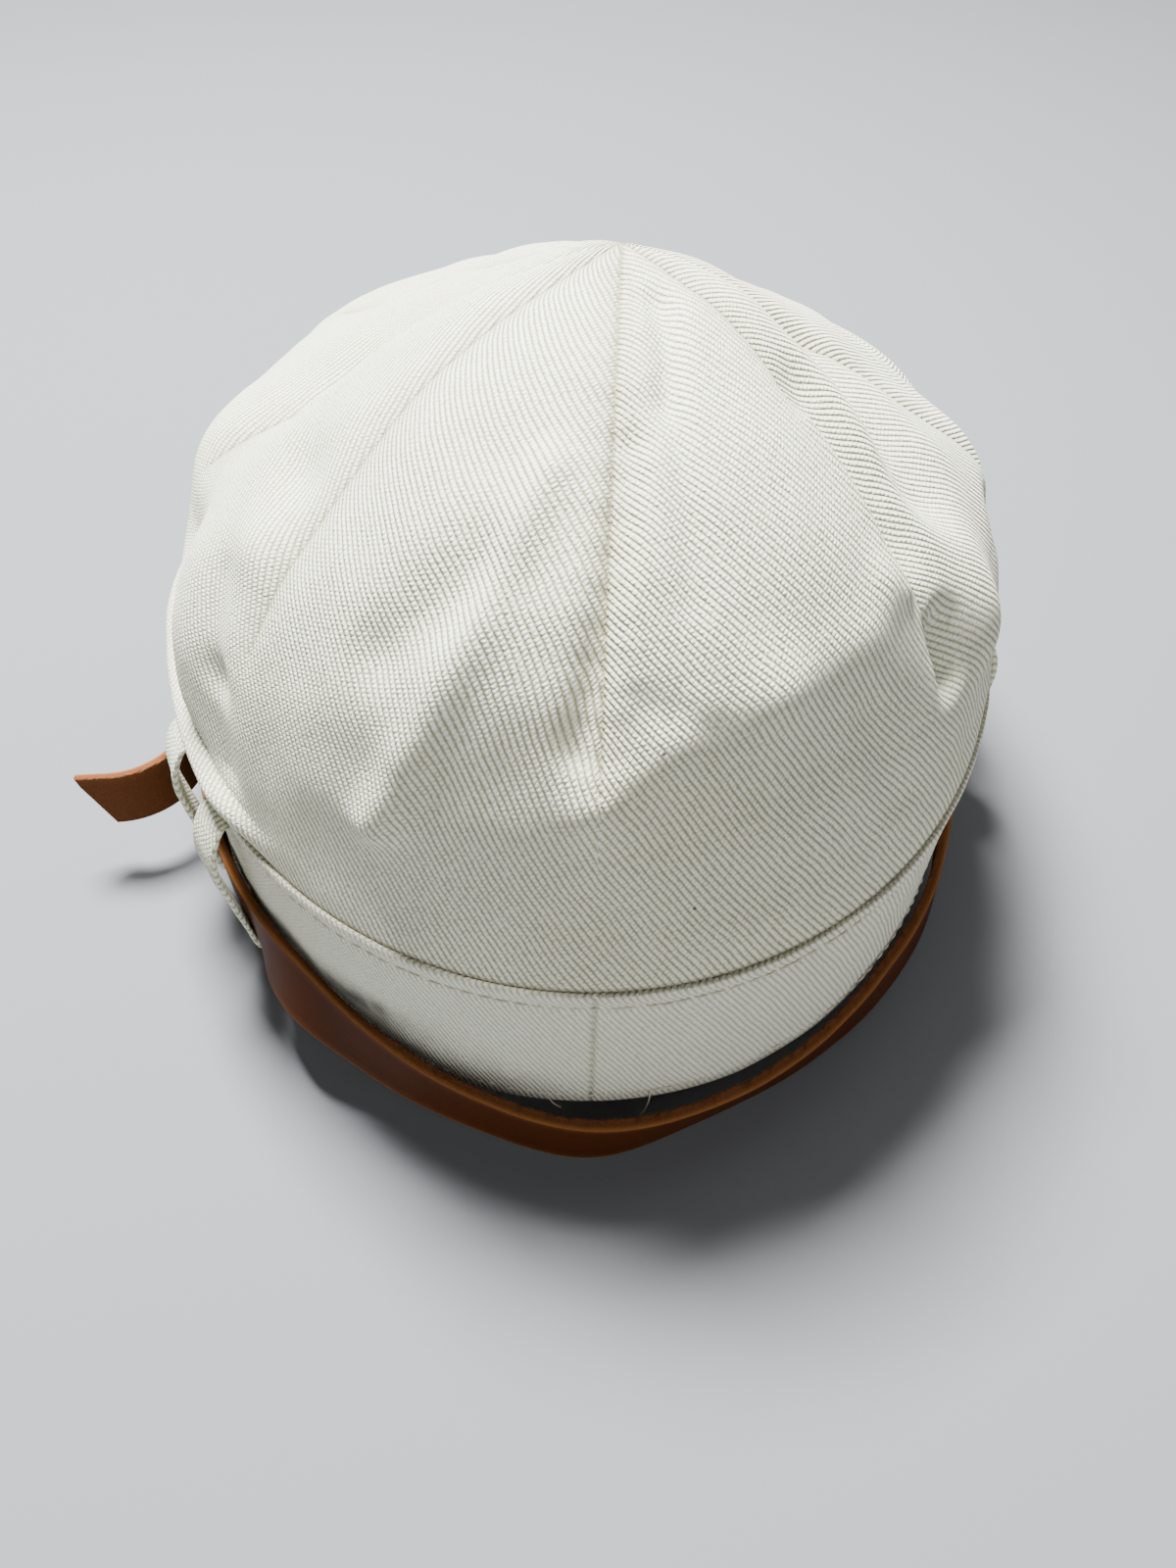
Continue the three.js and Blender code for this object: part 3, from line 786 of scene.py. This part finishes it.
def thread_bars(places, outward, directions):
    """Short bars of thread: a ring of points round each of six stations, whose radius is the square
    root of a sine and whose middle stands off the cloth by a sine, along each stitch's direction."""
    stations = np.linspace(0, 1, 6)
    angle = np.linspace(0, 2 * np.pi, 6, endpoint=False)
    radius = thread_radius * np.sqrt(np.maximum(np.sin(np.pi * stations), thread_end))
    side = np.cross(directions, outward)
    along = (stations - 0.5)[None, :, None, None] * stitch_length * directions[:, None, None, :]
    off = (np.sin(np.pi * stations) * thread_rise)[None, :, None, None] * outward[:, None, None, :]
    ring = radius[None, :, None, None] * (
        np.cos(angle)[None, None, :, None] * outward[:, None, None, :]
        + np.sin(angle)[None, None, :, None] * side[:, None, None, :]
    )
    points = places[:, None, None, :] + along + off + ring
    count = len(angle)
    one = grid_faces(len(stations), count)
    step = len(stations) * count
    faces = (one[None] + np.arange(len(places))[:, None, None] * step).reshape(-1, 4).tolist()
    for k in range(len(places)):
        faces.append(tuple(range(k * step, k * step + count)))
        faces.append(tuple(range((k + 1) * step - 1, (k + 1) * step - count - 1, -1)))
    return points.reshape(-1, 3), faces


def stitch_row(height, off, seed):
    """Places, outward ways and directions of one row of stitches round the band."""
    count = int(2 * np.pi * middle_reach / stitch_space)
    jitter = np.random.default_rng(seed).normal(0, 1, (3, count))
    turn = (np.arange(count) + stitch_drift * jitter[0]) * 360 / count
    level = height + stitch_wander * jitter[1]
    place = by_band(turn, level, off)
    ahead = by_band(turn + 0.5, level, off) - by_band(turn - 0.5, level, off)
    ahead /= np.linalg.norm(ahead, axis=-1, keepdims=True)
    ahead[:, 2] += stitch_tilt * jitter[2]
    outward = np.cross(ahead, [0, 0, 1])
    outward /= np.linalg.norm(outward, axis=-1, keepdims=True)
    outward *= np.sign(np.sum(outward * place * [1, 1, 0], axis=-1, keepdims=True))
    return place, outward, ahead


rows_of_stitches = [stitch_row(stitch_line, stitch_off, 21), stitch_row(hem_stitch_height, stitch_off, 22)]
place, outward, ahead = (np.concatenate(part) for part in zip(*rows_of_stitches))
stitch_points, stitch_faces = thread_bars(place, outward, ahead)
topstitch = make_mesh("band_topstitch", stitch_points, stitch_faces)


def thread_cotton():
    """Pale cotton thread, a little warmer than the cloth."""
    material, shader = new_material("cotton_thread")
    shader.inputs["Base Color"].default_value = (*thread_cream, 1)
    shader.inputs["Roughness"].default_value = 0.85
    return material


topstitch.data.materials.append(thread_cotton())
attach(topstitch, "root")


# Four belt loops, folded strips of the twill sewn to the band above and below.
# Each bows out from the band, with room for the strap and a little more.
loop_width = 9 * mm
loop_thickness = 1.3 * mm
loop_rise = 34.8 * mm
loop_drop = 2.2 * mm
loop_gap = 0.3 * mm
strap_play = 0.5 * mm
loop_bow = 2.6 * mm
loop_corner = 0.5 * mm
loop_ripple = 0.18 * mm
loop_fold_at = 0.33
loop_fold_reach = 0.04
loop_fold_shade = 0.35
strap_thickness = 2 * mm
strap_gap = 0.8 * mm
loop_turns = {"left_rear": -55, "left_front": -69, "right_rear": 88, "right_front": 102}
corner_run = 0.02


def rounded_bar(width, thickness, corner, runs):
    """The outline of a flat bar with rounded corners, as (share of width, share of thickness) pairs,
    once round: straight runs along the two faces, with a point close to each corner so that the faces
    stay flat up to it, and a quarter circle at each corner."""
    points = []
    quarter = np.linspace(0, math.pi / 2, 4)
    for side in range(4):
        right = side in (0, 1)
        high = side in (1, 2)
        middle_x = width - corner if right else corner
        middle_y = thickness - corner if high else corner
        for a in quarter:
            bearing = a + (side - 1) * math.pi / 2
            points.append((middle_x + corner * math.cos(bearing), middle_y + corner * math.sin(bearing)))
        if side in (1, 3):
            end_x = corner if side == 1 else width - corner
            even_runs = np.linspace(0, 1, runs + 2)[1:-1]
            for share in (corner_run, *even_runs, 1 - corner_run):
                points.append((middle_x + (end_x - middle_x) * share, points[-1][1]))
    points = np.array(points)
    return points[:, 0] / width, points[:, 1] / thickness


def tube_faces(sections, around):
    """The quads along a closed outline carried through sections, with a cap on each end."""
    faces = grid_faces(sections, around).tolist()
    faces.append(tuple(range(around)))
    faces.append(tuple(range(sections * around - 1, (sections - 1) * around - 1, -1)))
    return faces


def belt_loop(name, middle_turn, seed):
    """A flat bar carried up the band: it stands off by a flattened sine of the way
    up, which clears the strap, and bows out more above it by a second sine."""
    belly = strap_gap + strap_thickness + strap_play
    steps = 60
    v = (1 - np.cos(np.pi * np.linspace(0, 1, steps))) / 2
    height = -loop_drop + (loop_rise + loop_drop) * v
    off = loop_gap + (belly - loop_gap) * np.sin(np.pi * v**0.7) ** 0.3 + loop_bow * np.sin(np.pi * v**2.2)
    wide, thick = rounded_bar(loop_width, loop_thickness, loop_corner, 8)
    half_turn = np.degrees(loop_width / 2 / middle_reach)
    turn = middle_turn + (2 * wide - 1)[None, :] * half_turn
    stand = off[:, None] + loop_thickness * thick[None, :]
    level = height[:, None] + 0 * turn
    points = by_band(turn + 0 * level, level, stand)
    points = points + loop_ripple * uneven(points, 4 * mm, seed)[..., None] * (thick[None, :, None] > 0.5)
    piece = make_mesh(name, points.reshape(-1, 3), tube_faces(steps, len(wide)))
    loops = corner_points(piece.data)
    across = (wide[None, :] + 0 * level).ravel()[loops] * loop_width / mm
    place = np.stack([across, level.ravel()[loops] / -mm], -1)
    piece.data.uv_layers.new(name="weave").data.foreach_set("uv", place.ravel())
    edge = bell((np.abs(wide - 0.5) - loop_fold_at) / loop_fold_reach)[None, :] + 0 * level
    spread(piece.data, "seam", loop_fold_shade * edge)
    return piece


loop_twill = twill("loop_twill", band_lean, band_pitch)
for side, middle_turn in loop_turns.items():
    loop = belt_loop("loop_cloth_" + side, middle_turn, middle_turn + 200)
    loop.data.materials.append(loop_twill)
    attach(loop, "root")
    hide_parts("belt_loop_" + side)


# Two loose ends of cotton thread, left where the hem's stitching was cut off.
# Each is a thin round thread that comes out of the hem, bows away from the band and falls.
loose_radius = 0.16 * mm
loose_steps = 12
loose_corners = 6

# Each thread: the turn where it comes out, its drift sideways in degrees, its length and its bow
loose_threads = [
    (7.6, -1.1, 7 * mm, 1.2 * mm),
    (-5.4, 1.6, 3.5 * mm, 0.8 * mm),
]


def loose_thread(turn, drift, length, bow):
    """A level ring of points at each station of a thread whose drift grows with the square of the way
    down, and whose bow is a quarter sine."""
    way = np.linspace(0, 1, loose_steps)
    middle = by_band(turn + drift * way**2, hem_stitch_height - length * way, bow * np.sin(way * math.pi / 2))
    angle = np.arange(loose_corners) * 2 * math.pi / loose_corners
    ring = np.stack([np.cos(angle), np.sin(angle), 0 * angle], -1) * loose_radius
    return (middle[:, None, :] + ring[None, :, :]).reshape(-1, 3)


loose_points = np.concatenate([loose_thread(*row) for row in loose_threads])
loose_count = loose_steps * loose_corners
loose_faces = []
for first in range(0, len(loose_points), loose_count):
    for face in tube_faces(loose_steps, loose_corners):
        loose_faces.append([first + corner for corner in face])
loose = make_mesh("loose_threads", loose_points, loose_faces)
loose.data.materials.append(topstitch.data.materials[0])
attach(loose, "root")


# The chin strap is one long strip of thick tan leather, cut with square edges.
# It runs round the band through the loops; its free end comes out past the keeper and curls outwards.
strap_width = 13 * mm
strap_slack = 4.3 * mm
strap_step = 0.35
tail_bend = 15 * mm
tail_sweep = math.radians(100)
tail_straight = 7 * mm
tail_slant = 6 * mm
tail_drop = 2.5 * mm
tail_steps = 60
strap_corner = 0.35 * mm
fray_reach = 0.9 * mm
fray_limit = 1.6
fray_in = 0.28 * mm
fray_up = 0.22 * mm
fray_start = -34
fray_full = -22
grain_depth = 0.12 * mm
grain_size = 11 * mm
cut_edge = 0.45 * mm

# Where the strap overlaps itself, its inner layer clears the keeper and its outer layer the inner one
keeper_wall = 1 * mm
keeper_play = 0.3 * mm
layer_gap = 0.3 * mm
inner_layer = (keeper_wall + keeper_play) / strap_slack
outer_layer = inner_layer + (strap_thickness + layer_gap) / strap_slack

# The strap's course: turn, share of the slack, share of the band's height at its upper edge, lean
course = np.array([
    (-98, inner_layer, 0.35, 0),
    (-85, inner_layer, 0.35, 0),
    (-75, 0, 0.35, 0),
    (-63, 0, 0.35, 0),
    (-56, 0, 0.36, 0),
    (-51, 0, 0.375, 2),
    (-45, 0, 0.38, 17),
    (-39, 0.02, 0.36, 24),
    (-30, 0.16, 0.28, 12),
    (-15, 0.58, 0.165, -3),
    (0, 1, 0.07, -8),
    (15, 0.7, 0.05, -22),
    (30, 0.3, 0.05, -16),
    (45, 0.05, 0.075, -3),
    (60, 0.15, 0.06, 0),
    (72, 0.05, 0.1, 2),
    (84, 0, 0.35, 0),
    (105, 0, 0.35, 0),
    (250, 0, 0.35, 0),
    (262, outer_layer, 0.35, 0),
    (276, outer_layer, 0.35, 0),
])


def course_at(column, turn):
    """A smooth curve through one column of the course: a cubic through each pair of rows, with the
    slopes of their neighbours, and level where a pair is equal."""
    rows = course[:, 0]
    value = course[:, column]
    before = np.maximum(np.arange(len(rows)) - 1, 0)
    after = np.minimum(np.arange(len(rows)) + 1, len(rows) - 1)
    slope = (value[after] - value[before]) / (rows[after] - rows[before])
    i = np.clip(np.searchsorted(rows, turn, side="left") - 1, 0, len(rows) - 2)
    span = rows[i + 1] - rows[i]
    u = np.clip((turn - rows[i]) / span, 0, 1)
    rise = value[i + 1] - value[i]
    start = np.where(rise == 0, 0, slope[i] * span)
    end = np.where(rise == 0, 0, slope[i + 1] * span)
    return value[i] + u * u * (3 - 2 * u) * rise + u * (1 - u) * ((1 - u) * start - u * end)


def strap_point(turn, low, thick):
    """A point of the strap's section, low from its upper edge and thick from its inner face, both
    turned by the lean and then stood off the band."""
    off = strap_gap + strap_slack * course_at(1, turn)
    top = band_height * course_at(2, turn)
    lean = np.radians(course_at(3, turn))
    out = low * np.sin(lean) + thick * np.cos(lean)
    up = thick * np.sin(lean) - low * np.cos(lean)
    point = by_band(turn, np.maximum(top + up, 0), off + out)
    point[..., 2] = top + up
    return point


wide, thick = rounded_bar(strap_width, strap_thickness, strap_corner, 6)
low = wide * strap_width
deep = thick * strap_thickness
run_turns = np.arange(course[0, 0], course[-1, 0] + strap_step / 2, strap_step)
run_turns = np.linspace(course[0, 0], course[-1, 0], len(run_turns))
body = strap_point(run_turns[:, None] + 0 * low[None, :], low[None, :], deep[None, :])

last_turn = np.array([course[-1, 0]])
root = strap_point(last_turn[:, None] + 0 * low[None, :], low[None, :], 0 * deep[None, :])[0]
top_outer = strap_point(np.array([course[-1, 0] - strap_step, course[-1, 0]]), 0, strap_thickness)
ahead = (top_outer[1] - top_outer[0]) * [1, 1, 0]
ahead /= np.linalg.norm(ahead)
heading = np.array([ahead[1], -ahead[0], 0])
heading *= np.sign(heading @ top_outer[1])
tail_run = tail_bend * tail_sweep + tail_straight
share = np.linspace(0, 1, tail_steps + 1)[1:, None]
run = share * (tail_run - tail_slant * wide[None, :])
bent = np.minimum(run / tail_bend, tail_sweep)
rest = np.maximum(run - tail_bend * tail_sweep, 0)
on_x = tail_bend * np.sin(bent) + rest * np.cos(bent)
on_y = tail_bend * (1 - np.cos(bent)) + rest * np.sin(bent)
side_x = -np.sin(bent) * deep[None, :]
side_y = np.cos(bent) * deep[None, :]
tail = root[None] + (on_x + side_x)[..., None] * ahead + (on_y + side_y)[..., None] * heading
tail[..., 2] -= tail_drop * share**2
strap_shape = np.concatenate([body, tail])

# The flesh side frays along the strap's upper inner edge
scene_seed = np.random.default_rng(31)
fray = scene_seed.normal(0, 1, strap_shape.shape[:2])
upper_inner = bell(low / fray_reach) * (thick < 0.55)
inward = strap_shape.mean(axis=1, keepdims=True) * [1, 1, 0]
inward /= -np.linalg.norm(inward, axis=-1, keepdims=True)
torn = np.minimum(np.abs(fray), fray_limit) * upper_inner[None, :]
frayed = np.concatenate([smooth(fray_start, fray_full, run_turns), np.ones(len(tail))])
torn = torn * frayed[:, None]
strap_shape = strap_shape + inward * (fray_in * torn * (thick < 0.4)[None, :])[..., None]
strap_shape[..., 2] += fray_up * torn
grain_wave = uneven(strap_shape, grain_size, 32) * (thick > 0.9)[None, :]
strap_shape = strap_shape - inward * (grain_depth * grain_wave)[..., None]
sections = len(strap_shape)
strap = make_mesh("chin_strap_leather", strap_shape.reshape(-1, 3), tube_faces(sections, len(low)))

edge = np.maximum(bell(low / cut_edge), bell((strap_width - low) / cut_edge))
edge = edge * np.where(low < strap_width / 2, smooth(0.35, 0.6, thick), 1)
ends = np.zeros(sections)
ends[-1] = 1
cut = np.maximum(edge[None, :], ends[:, None])
flesh = (thick < 0.2)[None, :] * 1.0 + 0 * cut
fibre = upper_inner[None, :] * (thick < 0.5)[None, :] * frayed[:, None] + 0 * cut
spread(strap.data, "cut", cut)
spread(strap.data, "flesh", np.clip(flesh, 0, 1))
spread(strap.data, "fibre", np.clip(fibre, 0, 1))


grain_dark = (0.034, 0.0082, 0.0014)
grain_light = (0.074, 0.020, 0.003)
edge_dark = (0.18, 0.062, 0.015)
edge_light = (0.34, 0.14, 0.045)
flesh_dark = (0.035, 0.011, 0.004)
flesh_light = (0.17, 0.060, 0.019)
fibre_dark = (0.045, 0.014, 0.006)
fibre_light = (0.24, 0.09, 0.035)
cloud_grain = 38
pore_grain = 1500
hair_grain = 2600
hide_depth = 0.3 * mm


def strap_tan(name):
    """Oiled tan leather: a smooth brown grain side with fine creases, a paler cut edge and a rough
    fibrous flesh side, told apart by the numbers on the mesh."""
    material, shader = new_material(name)
    start = Value(shader.outputs[0])
    place = start.node("TexCoord", {}, {}, "Object")
    cut = start.node("Attribute", {"attribute_name": "cut"}, {}, "Fac")
    flesh = start.node("Attribute", {"attribute_name": "flesh"}, {}, "Fac")
    fibre = start.node("Attribute", {"attribute_name": "fibre"}, {}, "Fac")
    cloud = start.node("TexNoise", {}, {"Vector": place, "Scale": cloud_grain, "Detail": 4})
    pores = start.node("TexNoise", {}, {"Vector": place, "Scale": pore_grain, "Detail": 3})
    hair = start.node("TexNoise", {}, {"Vector": place, "Scale": hair_grain, "Detail": 4, "Roughness": 0.75})
    grain = cloud.mix(grain_dark, grain_light)
    edge_tan = hair.mix(edge_dark, edge_light)
    flesh_tan = hair.mix(flesh_dark, flesh_light)
    colour = (cut * 0.85).clamp().mix(grain, edge_tan)
    colour = flesh.mix(colour, flesh_tan)
    fibre_tan = hair.mix(fibre_dark, fibre_light)
    colour = (fibre * 0.9).clamp().mix(colour, fibre_tan)
    rough = (flesh + fibre + cut * 0.6).clamp()
    height = pores * 0.4 + hair * rough
    links = material.node_tree.links
    links.new(colour.socket, shader.inputs["Base Color"])
    links.new((0.55 + rough * 0.35).socket, shader.inputs["Roughness"])
    bump = start.node("Bump", {}, {"Strength": 0.5, "Distance": hide_depth, "Height": height}, "Normal")
    links.new(bump.socket, shader.inputs["Normal"])
    shader.inputs["Specular IOR Level"].default_value = 0.08
    return material


strap_leather = strap_tan("strap_leather_tan")
strap.data.materials.append(strap_leather)
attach(strap, "root")
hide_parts("chin_strap")


# The keeper is a narrow leather ring that holds the strap's two layers together.
# It is cut from the same hide and closed out of sight.
keeper_turn = 270
keeper_width = 5 * mm
ring_corner = 0.6 * mm
keeper_corner = 0.25 * mm

layer_foot = strap_gap + strap_slack * course_at(1, np.array([keeper_turn - 360.0]))[0]
layer_face = strap_gap + strap_slack * course_at(1, np.array([float(keeper_turn)]))[0] + strap_thickness
upper = band_height * course_at(2, np.array([float(keeper_turn)]))[0]
ring_width = layer_face - layer_foot + 2 * keeper_play
ring_height = strap_width + 2 * keeper_play
wide, thick = rounded_bar(ring_width, ring_height, ring_corner, 6)
path_off = layer_foot - keeper_play + wide * ring_width
path_up = upper + keeper_play - thick * ring_height
path = np.stack([path_off, path_up], -1)
way = np.roll(path, -1, axis=0) - np.roll(path, 1, axis=0)
way /= np.linalg.norm(way, axis=-1, keepdims=True)
out_off = way[:, 1]
out_up = -way[:, 0]
sign = np.sign(np.sum((path - path.mean(axis=0)) * np.stack([out_off, out_up], -1)))
across, proud = rounded_bar(keeper_width, keeper_wall, keeper_corner, 3)
half_turn = np.degrees(keeper_width / 2 / middle_reach)
turn = keeper_turn + (2 * across - 1)[None, :] * half_turn + 0 * path_off[:, None]
thin = np.where(out_off * sign < 0, 0.5, 1)[:, None]
stand = path_off[:, None] + (sign * out_off)[:, None] * proud[None, :] * keeper_wall * thin
level = path_up[:, None] + (sign * out_up)[:, None] * proud[None, :] * keeper_wall
points = by_band(turn, np.maximum(level, 0), stand)
points[..., 2] = level
around = len(across)
ring_faces = grid_faces(len(points) + 1, around) % (len(points) * around)
keeper = make_mesh("keeper_leather", points.reshape(-1, 3), ring_faces.tolist())
none = np.zeros(len(points) * around)
spread(keeper.data, "cut", (np.abs(across - 0.5) > 0.45)[None, :] * 0.8 + none.reshape(-1, around))
spread(keeper.data, "flesh", none)
spread(keeper.data, "fibre", none)
keeper.data.materials.append(strap_leather)
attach(keeper, "root")
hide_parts("strap_keeper")


# A plain pale floor under the cap, and soft light from three wide lamps.
floor_drop = 14 * mm
floor_side = 6
floor_grey = (0.175, 0.18, 0.19)
aim_height = 0.05
room_grey = (0.62, 0.64, 0.67)
room_light = 0.2

floor_mesh = bpy.data.meshes.new("floor")
corner = floor_side / 2
floor_corners = [(-corner, -corner), (corner, -corner), (corner, corner), (-corner, corner)]
floor_mesh.from_pydata([(x, y, -floor_drop) for x, y in floor_corners], [], [(0, 1, 2, 3)])
floor = bpy.data.objects.new("floor", floor_mesh)
bpy.context.scene.collection.objects.link(floor)
floor_material, floor_shader = new_material("floor_grey")
floor_shader.inputs["Base Color"].default_value = (*floor_grey, 1)
floor_shader.inputs["Roughness"].default_value = 0.9
floor_mesh.materials.append(floor_material)

# Each lamp: its place, its side and its power in watts
lamps = {
    "key": ((-0.18, 0.29, 0.92), 0.3, 70),
    "fill": ((0.2, -1.0, 0.45), 0.9, 4.6),
    "back": ((0.6, 0.7, 0.7), 0.9, 1.6),
}
for name, (at, side, power) in lamps.items():
    lamp = bpy.data.lights.new(name, "AREA")
    lamp.size = side
    lamp.energy = power
    lamp_object = bpy.data.objects.new(name, lamp)
    lamp_object.location = at
    toward = (Matrix.Translation((0, 0, aim_height)).translation - lamp_object.location).normalized()
    lamp_object.rotation_mode = "QUATERNION"
    lamp_object.rotation_quaternion = toward.to_track_quat("-Z", "Y")
    bpy.context.scene.collection.objects.link(lamp_object)

world = bpy.data.worlds.new("room")
world.use_nodes = True
world.node_tree.nodes["Background"].inputs["Color"].default_value = (*room_grey, 1)
world.node_tree.nodes["Background"].inputs["Strength"].default_value = room_light
bpy.context.scene.world = world
